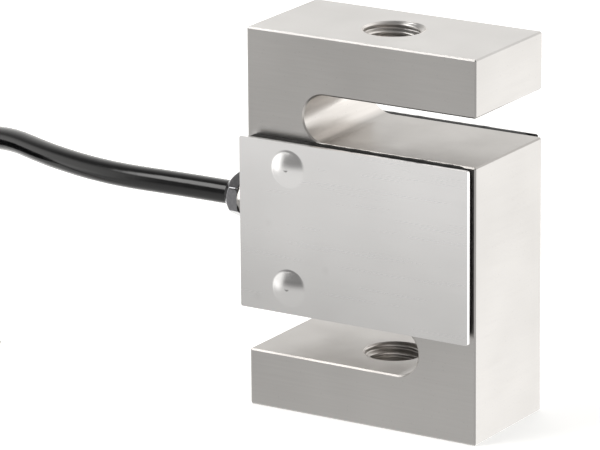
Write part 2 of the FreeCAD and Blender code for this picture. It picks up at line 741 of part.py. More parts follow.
# from the hank's topmost, outermost turn down to the jacket's cut end, which its sleeve holds off the floor
tailHeight = cableRadius + size("sleeveWall")
straightEnd = hankCentre + Vector(size("hankStraight") / 2, -outerTurn, 0)
tailRoute = [straightEnd + Vector(-runOn, 0, topTurn),
             straightEnd + Vector(12, 0, topTurn),
             straightEnd + Vector(38, 2.5, tailHeight),
             straightEnd + Vector(55, 5.5, tailHeight)]


def addRoundEnded(sketch, radius, straight):
    # two straight sides joined by half circles, centred on the sketch's origin
    high = sketch.addGeometry(Part.LineSegment(Vector(2, 1, 0), Vector(-2, 1, 0)), False)
    low = sketch.addGeometry(Part.LineSegment(Vector(-2, -1, 0), Vector(2, -1, 0)), False)
    left = Part.Circle(Vector(-2, 0, 0), Vector(0, 0, 1), 1.0)
    right = Part.Circle(Vector(2, 0, 0), Vector(0, 0, 1), 1.0)
    left = sketch.addGeometry(Part.ArcOfCircle(left, math.pi / 2, 3 * math.pi / 2), False)
    right = sketch.addGeometry(Part.ArcOfCircle(right, -math.pi / 2, math.pi / 2), False)
    sketch.addConstraint(Sketcher.Constraint("Tangent", high, 2, left, 1))
    sketch.addConstraint(Sketcher.Constraint("Tangent", left, 2, low, 1))
    sketch.addConstraint(Sketcher.Constraint("Tangent", low, 2, right, 1))
    sketch.addConstraint(Sketcher.Constraint("Tangent", right, 2, high, 1))
    sketch.addConstraint(Sketcher.Constraint("Horizontal", high))
    sketch.addConstraint(Sketcher.Constraint("Horizontal", low))
    sketch.addConstraint(Sketcher.Constraint("Symmetric", left, 3, right, 3, -1, 1))
    addDimension(sketch, radius, "Radius", left)
    addDimension(sketch, straight, "DistanceX", left, 3, right, 3)


def makeHank():
    # one solid of the hank's outer shape: a round-ended ring with its long edges rounded
    body = newBody("Hank")
    outline = newSketch(body, "HankOutline", "XY_Plane", ("", "", "sizes.tieThickness"))
    for reach in ("sizes.hankBend + sizes.hankWidth / 2", "sizes.hankBend - sizes.hankWidth / 2"):
        addRoundEnded(outline, reach, "sizes.hankStraight")
    addPad(body, "HankRing", outline, "sizes.hankHeight")
    level = (size("tieThickness"), size("tieThickness") + size("hankHeight"))
    addEdgeWork(body, "Fillet", "HankRound", "Radius", "sizes.hankRound",
                lambda edge: any(abs(edge.CenterOfMass.z - z) < near for z in level))
    body.Placement = Placement(hankCentre, Rotation())
    return finishPiece(body, "cable_hank")


def makeTie(label, angle):
    # a strap round one long side of the hank, under it too, at an angle about the hank's axis
    body = newBody("Tie")
    strap = newSketch(body, "TieSketch", "XZ_Plane",
                      ("sizes.hankBend", "sizes.tieThickness + sizes.hankHeight / 2", ""))
    inside = "sizes.hankWidth + 2 * sizes.tieClearance"
    addRectangle(strap, inside + " + 2 * sizes.tieThickness", "sizes.hankHeight + 2 * sizes.tieThickness")
    addRectangle(strap, inside, "sizes.hankHeight")
    addPad(body, "TieStrap", strap, "sizes.tieWidth", symmetric=True)
    inner = size("hankWidth") / 2 + size("tieClearance")
    outer = inner + size("tieThickness")
    for name, reach, radius in (("InnerBends", inner, "sizes.hankRound"),
                                ("OuterBends", outer, "sizes.hankRound + sizes.tieThickness")):
        addEdgeWork(body, "Fillet", name, "Radius", radius,
                    lambda edge: runsAlong(edge, Vector(0, 1, 0))
                    and abs(abs(edge.CenterOfMass.x - size("hankBend")) - reach) < near)
    body.Placement = Placement(hankCentre, Rotation(Vector(0, 0, 1), angle))
    finishPiece(body, label)


def makeFreeCable(hank):
    # both tubes run on into the hank, and end at its skin
    arriving = makeTube(cableRoute + [landing - Vector(runOn, 0, 0)], cableRadius, "cable")
    addShape("Cable", "cable", arriving.cut(hank.Shape))
    leaving = makeTube(tailRoute, cableRadius, "cable tail")
    addShape("CableTail", "cable_tail", leaving.cut(hank.Shape))


def makeCutEnd():
    # a shrunk sleeve over the jacket's end, and the cores and the twisted shield fanned out onto the floor
    end = tailRoute[-1]
    ahead = (end - tailRoute[-2]).normalize()
    aside = Vector(-ahead.y, ahead.x, 0)
    start = end + ahead * (size("sleevePast") - size("sleeveLength"))
    sleeve = Part.makeCylinder(cableRadius + size("sleeveWall"), size("sleeveLength"), start, ahead)
    sleeve = sleeve.cut(Part.makeCylinder(cableRadius, size("sleeveLength"), start, ahead))
    addShape("Sleeve", "end_sleeve", sleeve)
    offset = size("coreOffset")
    straight = ahead * size("tailStraight")
    for label, side, level, fan, reach, radius in (
            ("tail_red", 1, 1, 2, 29, size("coreRadius")), ("tail_white", 1, -1, 1, 32, size("coreRadius")),
            ("tail_shield", 0, 0, 0, 34, size("shieldRadius")),
            ("tail_green", -1, -1, -1, 31, size("coreRadius")),
            ("tail_black", -1, 1, -2, 28, size("coreRadius"))):
        first = end + aside * (side * offset) + Vector(0, 0, level * offset)
        drop = Vector(0, 0, radius - end.z)
        spread = aside * (fan * size("tailSpread"))
        bend = end + ahead * size("tailBend") + spread * 0.5 + drop * 0.75
        tip = end + ahead * reach + spread + drop
        addShape("Tail", label, makeTube([first, first + straight, bend, tip], radius))


makeBlock()
makeCover("front_cover", False)
makeCover("back_cover", True)
makeSeal("front_seal", False)
makeSeal("back_seal", True)
makeBoard("wiring_board", False)
makeBoard("compensation_board", True)
for label, sign, back in (("board_screw_front_lower", "-", False), ("board_screw_front_upper", "+", False),
                          ("board_screw_back_lower", "+", True), ("board_screw_back_upper", "-", True)):
    makeScrew(label, sign, back)
makeGauges()
makeResistors()
makeGland()
makeInnerCable()
makeCores()
makeGaugeLeads()
makeLinks()
makeFreeCable(makeHank())
makeTie("hank_tie_back", 90)
makeTie("hank_tie_front", -90)
makeCutEnd()
doc.recompute()

# ---- checks and files ----

for item in doc.Objects:
    if "Invalid" in item.State or "Error" in item.State:
        raise RuntimeError(item.Name + " failed: " + ", ".join(item.State))
for piece in pieces:
    if piece.Shape.isNull() or not piece.Shape.isValid() or not piece.Shape.Solids:
        raise RuntimeError(piece.Label + " has no valid solid")
if len({piece.Label for piece in pieces}) != len(pieces):
    raise RuntimeError("two pieces share a label")

os.makedirs("parts", exist_ok=True)
for piece in pieces:
    piece.Shape.exportStep(os.path.join("parts", piece.Label + ".step"))
print(len(pieces), "pieces written")
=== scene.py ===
import math

import bmesh
import bpy
import numpy as np
from mathutils import Matrix, Vector


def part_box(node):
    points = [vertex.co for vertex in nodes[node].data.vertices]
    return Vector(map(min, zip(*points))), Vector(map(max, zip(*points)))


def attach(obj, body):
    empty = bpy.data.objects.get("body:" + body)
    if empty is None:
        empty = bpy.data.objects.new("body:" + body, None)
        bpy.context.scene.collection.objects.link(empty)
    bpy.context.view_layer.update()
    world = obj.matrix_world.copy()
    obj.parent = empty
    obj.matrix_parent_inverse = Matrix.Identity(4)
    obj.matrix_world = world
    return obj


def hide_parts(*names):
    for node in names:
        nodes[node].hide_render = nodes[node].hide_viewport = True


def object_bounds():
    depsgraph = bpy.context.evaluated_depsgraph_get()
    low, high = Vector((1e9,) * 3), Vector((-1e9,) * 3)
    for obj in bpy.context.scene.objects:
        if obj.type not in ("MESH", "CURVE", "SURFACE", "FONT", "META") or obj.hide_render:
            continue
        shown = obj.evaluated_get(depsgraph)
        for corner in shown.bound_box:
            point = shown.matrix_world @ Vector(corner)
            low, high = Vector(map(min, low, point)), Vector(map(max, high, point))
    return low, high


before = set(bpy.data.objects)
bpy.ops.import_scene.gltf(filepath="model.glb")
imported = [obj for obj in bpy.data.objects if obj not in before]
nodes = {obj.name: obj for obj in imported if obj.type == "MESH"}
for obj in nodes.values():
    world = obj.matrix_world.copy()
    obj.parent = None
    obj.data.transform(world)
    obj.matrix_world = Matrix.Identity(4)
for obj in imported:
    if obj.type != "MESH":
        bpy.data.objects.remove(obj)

cadLow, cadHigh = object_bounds()
mm = 0.001


def linear(hexColour):
    # sRGB hex to linear light
    parts = [int(hexColour[i:i + 2], 16) / 255 for i in (0, 2, 4)]
    return [c / 12.92 if c <= 0.04045 else ((c + 0.055) / 1.055) ** 2.4 for c in parts] + [1.0]


def addNode(tree, kind, inputs=(), **settings):
    # one node: its settings, then each input as a number, a colour or a link
    node = tree.nodes.new(kind)
    for name, value in settings.items():
        setattr(node, name, value)
    for name, value in dict(inputs).items():
        if isinstance(value, bpy.types.NodeSocket):
            tree.links.new(value, node.inputs[name])
        else:
            node.inputs[name].default_value = value
    return node


def mathOf(tree, operation, *values):
    # the result of one Math node on numbers or links
    return addNode(tree, "ShaderNodeMath", dict(enumerate(values)), operation=operation).outputs[0]


def newMaterial(name, colour, roughness, metallic=0.0, **sockets):
    material = bpy.data.materials.new(name)
    material.use_nodes = True
    shader = material.node_tree.nodes["Principled BSDF"]
    shader.inputs["Base Color"].default_value = linear(colour)
    shader.inputs["Roughness"].default_value = roughness
    shader.inputs["Metallic"].default_value = metallic
    for name, value in sockets.items():
        shader.inputs[name.replace("_", " ")].default_value = value
    return material, material.node_tree, shader


def meshPiece(name, points, faces, uv, material):
    # a mesh object of the load cell, its faces turned outwards
    mesh = bpy.data.meshes.new(name)
    mesh.from_pydata(points.tolist(), [], faces)
    layer = mesh.uv_layers.new(name="UVMap")
    layer.data.foreach_set("uv", np.asarray(uv, np.float32).ravel())
    mesh.polygons.foreach_set("use_smooth", np.ones(len(mesh.polygons), bool))
    work = bmesh.new()
    work.from_mesh(mesh)
    bmesh.ops.recalc_face_normals(work, faces=work.faces)
    work.to_mesh(mesh)
    work.free()
    mesh.materials.append(material)
    piece = bpy.data.objects.new(name, mesh)
    bpy.context.scene.collection.objects.link(piece)
    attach(piece, "root")
    return piece


def gridFaces(rows, columns, closedRows):
    # the four corner numbers of each face of a grid whose columns close up into a ring, and how far along it
    # each corner lies for the UV map
    down = np.arange(rows if closedRows else rows - 1)
    across = np.arange(columns)
    i, j = np.meshgrid(down, across, indexing="ij")
    steps = ((0, 0), (0, 1), (1, 1), (1, 0))
    faces = np.stack([((i + a) % rows) * columns + (j + b) % columns for a, b in steps], -1)
    places = np.stack([np.stack([(i + a) / rows, (j + b) / columns], -1) for a, b in steps], -2)
    return faces.reshape(-1, 4), places.reshape(-1, 4, 2)


def gridPiece(name, grids, material, sharp=None):
    # one or more grids of points as one piece; each comes with whether its rows close up into a ring, and an
    # open one gets a flat cap at each end
    points, faces, uv = [], [], []
    for grid, closedRows in grids:
        rows, columns = grid.shape[:2]
        start = sum(len(p) for p in points)
        quads, places = gridFaces(rows, columns, closedRows)
        faces += (quads + start).tolist()
        uv += places.reshape(-1, 2).tolist()
        if not closedRows:
            for row in (0, rows - 1):
                faces.append(list(range(start + row * columns, start + (row + 1) * columns)))
                uv += [[row / rows, j / columns] for j in range(columns)]
        points.append(grid.reshape(-1, 3))
    piece = meshPiece(name, np.concatenate(points), faces, uv, material)
    if sharp is not None:
        piece.data.set_sharp_from_angle(angle=math.radians(sharp))
    return piece


def smoothStep(x):
    x = np.clip(x, 0, 1)
    return x * x * (3 - 2 * x)


# angles in degrees; the offset is the origin's place in the camera's own axes, in millimetres
cameraView = {"yaw": 32.11, "pitch": 16.57, "roll": -0.47, "offset": (18.58, -35.52, -1007.08),
              "lens": 309.24, "sensor": 36, "clip": (0.05, 50)}


def makeCamera():
    yaw, pitch, roll = (math.radians(cameraView[k]) for k in ("yaw", "pitch", "roll"))
    back = Vector((math.sin(yaw) * math.cos(pitch), -math.cos(yaw) * math.cos(pitch), math.sin(pitch)))
    right = Vector((0, 0, 1)).cross(back).normalized()
    up = back.cross(right)
    right, up = (math.cos(roll) * right + math.sin(roll) * up, math.cos(roll) * up - math.sin(roll) * right)
    turn = Matrix((right, up, back)).transposed()
    camera = bpy.data.objects.new("camera", bpy.data.cameras.new("camera"))
    camera.data.lens = cameraView["lens"]
    camera.data.sensor_width = cameraView["sensor"]
    camera.data.clip_start, camera.data.clip_end = cameraView["clip"]
    camera.matrix_world = Matrix.Translation(turn @ (Vector(cameraView["offset"]) * -mm)) @ turn.to_4x4()
    bpy.context.scene.collection.objects.link(camera)
    bpy.context.scene.camera = camera


# the studio: a dim surround with a bright wall behind, dimmer in its middle, a pale table below, a panel on
# the left and a soft lamp above the front left corner. Each is a lobe: its direction, the cosines from it at
# which it starts and is full, and its level
studio = {"base": 0.28, "tint": "FFFEFC",
          "lobes": [((0, 1, 0), 0.0, 0.8, 1.05), ((0, 0, -1), 0.0, 0.28, 0.54),
                    ((0, 1, 0), 0.88, 0.99, -0.55), ((-0.93, -0.35, 0.1), 0.84, 0.98, 1.1),
                    ((-0.51, -0.50, 0.70), 0.945, 0.975, 5.0)]}


def makeStudio():
    world = bpy.data.worlds.new("studio")
    bpy.context.scene.world = world
    world.use_nodes = True
    tree = world.node_tree
    direction = addNode(tree, "ShaderNodeTexCoord").outputs["Generated"]
    level = studio["base"]
    for towards, start, end, strength in studio["lobes"]:
        share = addNode(tree, "ShaderNodeVectorMath", {0: direction, 1: towards}, operation="DOT_PRODUCT")
        lobe = addNode(tree, "ShaderNodeMapRange", {"Value": share.outputs["Value"], "From Min": start,
                       "From Max": end, "To Max": strength}, interpolation_type="SMOOTHSTEP")
        level = mathOf(tree, "ADD", level, lobe.outputs["Result"])
    light = tree.nodes["Background"]
    light.inputs["Color"].default_value = linear(studio["tint"])
    tree.links.new(level, light.inputs["Strength"])
    bpy.context.scene.view_settings.view_transform = "Standard"


floorSheet = {"side": 6.0, "colour": "F6F6F5", "roughness": 0.9, "glow": 0.55}


def makeFloor():
    # a pale sheet, a little lit from below, that the metal doesn't mirror
    half = floorSheet["side"] / 2
    mesh = bpy.data.meshes.new("floor")
    corners = [(-half, -half, 0), (half, -half, 0), (half, half, 0), (-half, half, 0)]
    mesh.from_pydata(corners, [], [(0, 1, 2, 3)])
    material, tree, shader = newMaterial("pale_floor", floorSheet["colour"], floorSheet["roughness"],
                                         Emission_Strength=floorSheet["glow"])
    shader.inputs["Emission Color"].default_value = linear(floorSheet["colour"])
    mesh.materials.append(material)
    floor = bpy.data.objects.new("floor", mesh)
    floor.visible_glossy = False
    bpy.context.scene.collection.objects.link(floor)


makeCamera()
makeStudio()
makeFloor()
print("stage ready")


# nickel-plated steel, ground before plating: fine level lines, small pits, a soft mirror. The sizes of lines,
# pits and clouds come first, then how far each moves the tone from shade to colour and where the tone starts,
# then the painted shade of the slots' floors and the painted light of their round ends
blockMetal = {"colour": "C4C2C0", "shade": "B2B0AE", "roughness": 0.34, "relief": 0.14, "lineMm": 0.45,
              "pitMm": 1.3, "cloudMm": 26, "lineTone": 0.5, "pitTone": 0.35, "cloudTone": 0.9, "middle": 0.05,
              "slotFloorPaintedShade": "ACA9A6", "slotEndPaintedLight": "E6E2DE"}
metalLook = {"toneSpan": (0.35, 1.05), "pitEdge": (0.05, 0.12), "gloss": 0.22, "reliefDepth": 0.00006}
mouldedLook = {"toneSpan": (0.3, 0.7), "gloss": 0.14, "reliefDepth": 0.0001}
# the slots' walls, which get painted light and shade: how far a surface turns to an axis, and the range on
# that axis that is inside the block
slotWall = {"turn": (0.25, 0.6), "Z": (0.0381, 0.033), "X": (0.0, 0.0248)}


def scaled(tree, place, perMm):
    # a place in metres turned into pattern units, a different number per millimetre on each axis
    return addNode(tree, "ShaderNodeVectorMath", {0: place, 1: [v * 1000 for v in perMm]},
                   operation="MULTIPLY").outputs["Vector"]


def noiseOf(tree, place, perMm, **inputs):
    return addNode(tree, "ShaderNodeTexNoise", {"Vector": scaled(tree, place, perMm), "Scale": 1.0,
                   **inputs}).outputs["Fac"]


def spanOf(tree, value, span, low=0.0, high=1.0):
    # how far a value lies through a span, held inside it and spread from low to high
    return addNode(tree, "ShaderNodeMapRange", {"Value": value, "From Min": span[0], "From Max": span[1],
                   "To Min": low, "To Max": high}).outputs["Result"]


def mixOf(tree, share, first, second):
    # a mix of two colours, each a hex colour or a link
    first, second = (linear(c) if isinstance(c, str) else c for c in (first, second))
    return addNode(tree, "ShaderNodeMix", {"Factor": share, "A": first, "B": second},
                   data_type="RGBA").outputs["Result"]


def glossAndRelief(tree, shader, pattern, look, roughness, relief):
    # the pattern moves the roughness a little either way, and raises the surface where there is relief
    swing = look["gloss"]
    rough = mathOf(tree, "MULTIPLY_ADD", pattern, swing, roughness - swing / 2)
    tree.links.new(rough, shader.inputs["Roughness"])
    if relief:
        bump = addNode(tree, "ShaderNodeBump", {"Height": pattern, "Strength": relief,
                       "Distance": look["reliefDepth"]})
        tree.links.new(bump.outputs["Normal"], shader.inputs["Normal"])


def onSlotWall(tree, place, axis):
    # one where the surface faces along the axis inside the block, as the walls of its slots do: the mask for
    # their painted light and shade
    normal = addNode(tree, "ShaderNodeTexCoord").outputs["Normal"]
    facing = mathOf(tree, "ABSOLUTE", addNode(tree, "ShaderNodeSeparateXYZ", {0: normal}).outputs[axis])
    along = addNode(tree, "ShaderNodeSeparateXYZ", {0: place}).outputs[axis]
    inside = mathOf(tree, "COMPARE", along, *slotWall[axis])
    return mathOf(tree, "MULTIPLY", inside, spanOf(tree, facing, slotWall["turn"]))


def groundMetal(name, look, across=(0.04, 0.04, 1.0)):
    # a ground metal: lines run where `across` is small, clouds of tone and pits lie over them, painted light
    # and shade may move the tone across the piece by `paintedLight` per metre, and the walls of slots may get
    # painted shade on their floors and painted light on their round ends
    material, tree, shader = newMaterial(name, look["colour"], look["roughness"], 1.0)
    place = addNode(tree, "ShaderNodeTexCoord").outputs["Object"]
    lines = noiseOf(tree, place, [v / look["lineMm"] for v in across], Detail=3.0, Roughness=0.6)
    cloud = noiseOf(tree, place, [1 / look["cloudMm"]] * 3, Detail=2.0)
    pits = addNode(tree, "ShaderNodeTexVoronoi", {"Vector": scaled(tree, place, [1 / look["pitMm"]] * 3),
                   "Scale": 1.0, "Randomness": 1.0}).outputs["Distance"]
    pits = spanOf(tree, pits, metalLook["pitEdge"], look["pitTone"], 0.0)
    tone = mathOf(tree, "MULTIPLY_ADD", cloud, look["cloudTone"], look["middle"])
    tone = mathOf(tree, "MULTIPLY_ADD", lines, look["lineTone"], tone)
    tone = mathOf(tree, "SUBTRACT", tone, pits)
    # painted reflection and shade: the tone rises steadily across the piece by `paintedLight` per metre, from
    # `paintedLightFrom`
    if "paintedLight" in look:
        paintedLight = addNode(tree, "ShaderNodeVectorMath", {0: place, 1: look["paintedLight"]}, operation="DOT_PRODUCT")
        tone = mathOf(tree, "ADD", tone, mathOf(tree, "ADD", paintedLight.outputs["Value"], look["paintedLightFrom"]))
    colour = mixOf(tree, spanOf(tree, tone, metalLook["toneSpan"]), look["shade"], look["colour"])
    # painted shade on the slots' floors and painted light on their round ends, each blended in by the slot
    # mask less the pits
    if "slotEndPaintedLight" in look:
        for axis, tint in (("Z", look["slotFloorPaintedShade"]), ("X", look["slotEndPaintedLight"])):
            share = mathOf(tree, "SUBTRACT", onSlotWall(tree, place, axis), pits)
            colour = mixOf(tree, share, colour, tint)
    tree.links.new(colour, shader.inputs["Base Color"])
    glossAndRelief(tree, shader, lines, metalLook, look["roughness"], look["relief"])
    return material


def mouldedFinish(name, colour, shade, roughness, grainMm, metallic=0.0, bump=0.1):
    # a moulded, drawn or printed surface: two close tones and a light grain of one size
    material, tree, shader = newMaterial(name, colour, roughness, metallic)
    place = addNode(tree, "ShaderNodeTexCoord").outputs["Object"]
    grain = noiseOf(tree, place, [1 / grainMm] * 3, Detail=3.0)
    tone = spanOf(tree, grain, mouldedLook["toneSpan"])
    tree.links.new(mixOf(tree, tone, shade, colour), shader.inputs["Base Color"])
    glossAndRelief(tree, shader, grain, mouldedLook, roughness, bump)
    return material


steel = groundMetal("nickel_plated_steel", blockMetal)  # a satin grey mirror with level grinding lines

# stainless sheet, rolled: paler and smoother than the block; painted reflection and shade make it lighter
# towards its top and a little to the right
coverSheet = {"colour": "F6F5F5", "shade": "BCBBBA", "roughness": 0.24, "relief": 0.0, "lineMm": 0.9,
              "pitMm": 9.0, "cloudMm": 20, "lineTone": 0.1, "pitTone": 0.04, "cloudTone": 0.3, "middle": 0.55,
              "paintedLight": (2.0, 0.0, 12.0), "paintedLightFrom": -0.38}
sheetMetal = groundMetal("satin_stainless_sheet", coverSheet, (0.03, 0.03, 1.0))

bead = mouldedFinish("black_silicone", "121212", "0A0A0A", 0.62, 1.4, bump=0.25)  # cured silicone, satin
# the nut is the same nickel-plated brass as the hexagon, painted darker as a painted reflection of the dark
# surroundings it mirrors
nutMetal = mouldedFinish("nickel_brass_painted_darker", "8E8E90", "77777A", 0.2, 0.5, metallic=1.0, bump=0.08)
hexMetal = mouldedFinish("bright_nickel_brass", "B4B2AF", "A19F9C", 0.3, 0.5, metallic=1.0, bump=0.08)
rubber = mouldedFinish("nitrile_rubber", "1A1A1B", "111112", 0.55, 0.6)
jacket = mouldedFinish("black_pvc_jacket", "08080A", "050506", 0.15, 3.0, bump=0.3)  # extruded PVC, glossy
strap = mouldedFinish("black_nylon_strap", "171718", "101011", 0.4, 0.5)
shrink = mouldedFinish("shrunk_polyolefin", "141415", "0D0D0E", 0.5, 0.9)
copper = mouldedFinish("tinned_copper_strand", "C9C6BF", "ABA8A0", 0.32, 0.15, metallic=1.0)
coreTints = {"red": ("B3171B", "9C1216"), "white": ("EAE9E4", "DAD9D2"), "green": ("1D7A3A", "17682F"),
             "black": ("151516", "0E0E0F")}
insulation = {name: mouldedFinish(name + "_pvc_insulation", tint, shade, 0.38, 1.2)
              for name, (tint, shade) in coreTints.items()}

# pieces behind the covers
laminate = mouldedFinish("green_glass_laminate", "1E6B43", "185A38", 0.35, 0.6)
screwSteel = mouldedFinish("zinc_plated_screw", "B9BBBC", "A3A5A6", 0.3, 0.4, metallic=1.0)
brass = mouldedFinish("crimp_brass", "C29A4B", "AD863C", 0.28, 0.4, metallic=1.0)
foil = mouldedFinish("constantan_gauge_film", "B98A4E", "8C6534", 0.35, 0.3, metallic=0.6)
ceramic = mouldedFinish("glazed_alumina", "D8D4CB", "C9C4BA", 0.3, 0.5)
enamel = mouldedFinish("lacquered_lead", "8E2F1E", "7A2718", 0.3, 0.4)

slotFinish = {"nickel_plated_steel": steel, "cover_sheet": sheetMetal, "silicone_bead": bead,
              "circuit_board": laminate, "gland_rubber": rubber, "gland_metal": hexMetal,
              "cable_jacket": jacket, "crimp_brass": brass, "shrink_sleeve": shrink, "tie_strap": strap,
              "tinned_copper": copper, "screw_steel": screwSteel, "gauge_foil": foil,
              "resistor_ceramic": ceramic, "lead_enamel": enamel}
slotFinish.update({"insulation_" + name: finish for name, finish in insulation.items()})
for node in nodes.values():
    for place in node.material_slots:
        place.material = slotFinish[place.material.name]
print("finishes ready")


# M12 threads cut through both bars: a ridge wound round the bore, faded out at each mouth
thread = {"pitch": 1.75, "root": 6.02, "crest": 5.15, "flat": 0.18, "lead": 0.9, "inset": 0.03, "wall": 0.05,
          "end": 0.05, "rowsPerPitch": 14, "columns": 96}


def makeThread(name, low, high):
    # the ridge follows a wave with flat tops and roots, in the height along the bore less the turn's share of
    # a pitch; the wall behind it closes the piece
    rows = int((high - low) / thread["pitch"] * thread["rowsPerPitch"])
    z = np.linspace(low, high, rows)[:, None]
    turn = np.arange(thread["columns"])[None, :] / thread["columns"]
    wave = np.abs(((z / thread["pitch"] - turn) % 1) * 2 - 1)
    ridge = np.clip((wave - thread["flat"]) / (1 - 2 * thread["flat"]), 0, 1)
    fade = np.clip(np.minimum(z - low, high - z) / thread["lead"], 0, 1)
    inner = thread["root"] - (thread["root"] - thread["crest"]) * ridge * fade - thread["inset"]
    radius = np.concatenate([inner, np.full((2, thread["columns"]), thread["root"] + thread["wall"])])
    level = np.concatenate([np.broadcast_to(z, inner.shape),
                            np.full((1, thread["columns"]), high), np.full((1, thread["columns"]), low)])
    angle = 2 * np.pi * turn + np.zeros_like(radius)
    grid = np.stack([radius * np.cos(angle), radius * np.sin(angle), level], -1) * mm
    return gridPiece(name, [(grid, True)], steel)


barHeight = 11.43
top = cadHigh[2] / mm
makeThread("upper_thread_ridges", top - barHeight + thread["end"], top - thread["end"])
makeThread("lower_thread_ridges", thread["end"], barHeight - thread["end"])
print("threads ready")


# free cable: the route, the spare length wound into a hank, and the tail, one list of control points
cable = {"length": 3.0, "diameter": 0.0048, "exit": (-37.4, 0.0, 38.1), "bends": (21.0, 16.2),
         "straight": 61.3, "landingPast": 4.0, "levels": (3.0, 7.8, 12.6, 17.4, 22.2, 27.0), "arcPoints": 6,
         "sidePoints": 3}
cableRoute = [(-37.4, 0, 38.1), (-49, 0, 38.1), (-67, 1.4, 37.3), (-85, 6.6, 37.1), (-102, 15.0, 36.9),
              (-118, 20.8, 32.6), (-133, 23.2, 22.0), (-147, 23.6, 10.6), (-162, 23.5, 4.4),
              (-180, 23.5, 3.0)]
landing = np.array(cableRoute[-1])
hankCentre = landing * (1, 1, 0) + (cable["landingPast"] - cable["straight"] / 2, -cable["bends"][0], 0)
straightEnd = hankCentre + (cable["straight"] / 2, -cable["bends"][0], 0)
tailRoute = straightEnd + [(-14, 0, 27.0), (12, 0, 27.0), (38, 2.5, 2.8), (55, 5.5, 2.8)]


def splineCurve(name, points):
    # a curve of one NURBS spline through space with the given control points, in millimetres
    curve = bpy.data.curves.new(name, "CURVE")
    curve.dimensions = "3D"
    spline = curve.splines.new("NURBS")
    spline.points.add(len(points) - 1)
    spline.points.foreach_set("co", np.column_stack([np.array(points) * mm, np.ones(len(points))]).ravel())
    spline.order_u = 3
    spline.use_endpoint_u = True
    spline.resolution_u = 6
    piece = bpy.data.objects.new(name, curve)
    bpy.context.scene.collection.objects.link(piece)
    return piece


def hankTurns():
    # turns side by side and layer on layer, out to in and back. A turn's points go along its two straight
    # sides and round its two end bends, where each reaches out by one over the cosine of half a step, so that
    # the curve keeps the bend's radius; the step to the next bend or layer is taken along the first side
    straight, perArc, perSide = cable["straight"], cable["arcPoints"], cable["sidePoints"]
    halfStep = np.pi / perArc / 2
    arc = np.arange(perArc) * 2 * halfStep + halfStep
    along = (np.arange(perSide) + 0.5) / perSide - 0.5
    out = 1 / math.cos(halfStep)
    turnShape = np.concatenate([
        np.stack([-along * straight, 0 * along, np.ones(perSide)], -1),
        np.stack([0 * arc - straight / 2, -out * np.sin(arc), out * np.cos(arc)], -1),
        np.stack([along * straight, 0 * along, -np.ones(perSide)], -1),
        np.stack([0 * arc + straight / 2, out * np.sin(arc), -out * np.cos(arc)], -1)])
    outer, inner = cable["bends"]
    bends = np.array([outer, inner, inner, outer] * (len(cable["levels"]) // 2))
    levels = np.repeat(cable["levels"], 2)
    turns = np.tile(turnShape, (len(bends), 1, 1))
    share = np.concatenate([(np.arange(perSide) + 0.5) / perSide, np.ones(len(turnShape) - perSide)])
    radius = bends[:, None] * share + np.append(bends[0], bends[:-1])[:, None] * (1 - share)
    level = levels[:, None] * share + np.append(levels[0], levels[:-1])[:, None] * (1 - share)
    x = turns[..., 0] + turns[..., 1] * radius
    y = turns[..., 2] * radius
    points = np.stack([x, y, level], -1).reshape(-1, 3)
    # the last turn ends half-way, at the tail
    return hankCentre + points[:-(perArc + 1)]


def makeCable():
    points = np.concatenate([cableRoute, hankTurns(), tailRoute])
    piece = splineCurve("signal_cable", points)
    piece.data.bevel_depth = cable["diameter"] / 2
    piece.data.bevel_resolution = 5
    piece.data.use_fill_caps = True
    piece.data.materials.append(jacket)
    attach(piece, "root")
    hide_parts("cable", "cable_hank", "cable_tail")
    return piece


cablePiece = makeCable()
print("cable ready")


def roundedPath(halfWidth, halfHeight, radius, perCorner=9, perSide=2):
    # points and outward directions once round a rectangle with round corners: each corner's arc about its
    # centre, then points in equal steps along the side that follows
    angle = (np.arange(4)[:, None] * 90 + np.linspace(0, 90, perCorner)[None, :]) * np.pi / 180
    out = np.stack([np.cos(angle), np.sin(angle)], -1)
    corner = np.array([(1, 1), (-1, 1), (-1, -1), (1, -1)]) * (halfWidth - radius, halfHeight - radius)
    arcs = corner[:, None, :] + out * radius
    share = np.linspace(0, 1, perSide + 2)[None, 1:-1, None]
    nextStart = np.roll(arcs[:, :1], -1, axis=0)
    sides = arcs[:, -1:] * (1 - share) + nextStart * share
    points = np.concatenate([arcs, sides], axis=1).reshape(-1, 2)
    outward = np.concatenate([out, np.repeat(out[:, -1:], perSide, axis=1)], axis=1).reshape(-1, 2)
    return points, outward


def boxSection(halfOut, halfAcross, columns, power=0.35):
    # a section with round corners: cosine and sine raised to a small power
    angle = 2 * np.pi * np.arange(columns) / columns
    soft = [np.sign(w) * np.abs(w) ** power for w in (np.cos(angle), np.sin(angle))]
    return halfOut * soft[0], halfAcross * soft[1]


def softBlock(centre, half, axes, rows=14, columns=28, power=0.4):
    # a block with soft edges: latitude and longitude, each cosine and sine raised to a small power
    latitude = np.linspace(-0.497 * np.pi, 0.497 * np.pi, rows)[:, None]
    longitude = (2 * np.pi * np.arange(columns) / columns)[None, :]
    softer = lambda w: np.sign(w) * np.abs(w) ** power
    local = np.stack([softer(np.cos(latitude)) * softer(np.cos(longitude)) * half[0],
                      softer(np.cos(latitude)) * softer(np.sin(longitude)) * half[1],
                      softer(np.sin(latitude)) * half[2] + 0 * longitude], -1)
    return np.asarray(centre) + local @ np.asarray(axes)


# nylon cable ties round the hank: a strap, its head on top and the cut end of the strap
tie = {"section": (18.6, 15.0), "half": (5.25, 14.7), "bend": 2.6, "thickness": 0.6, "width": 4.0,
       "head": (2.8, 2.6, 1.9), "headOut": 17.2, "stub": (2.2, 1.9, 0.3), "stubOverlap": 0.4, "stubDrop": 0.3}


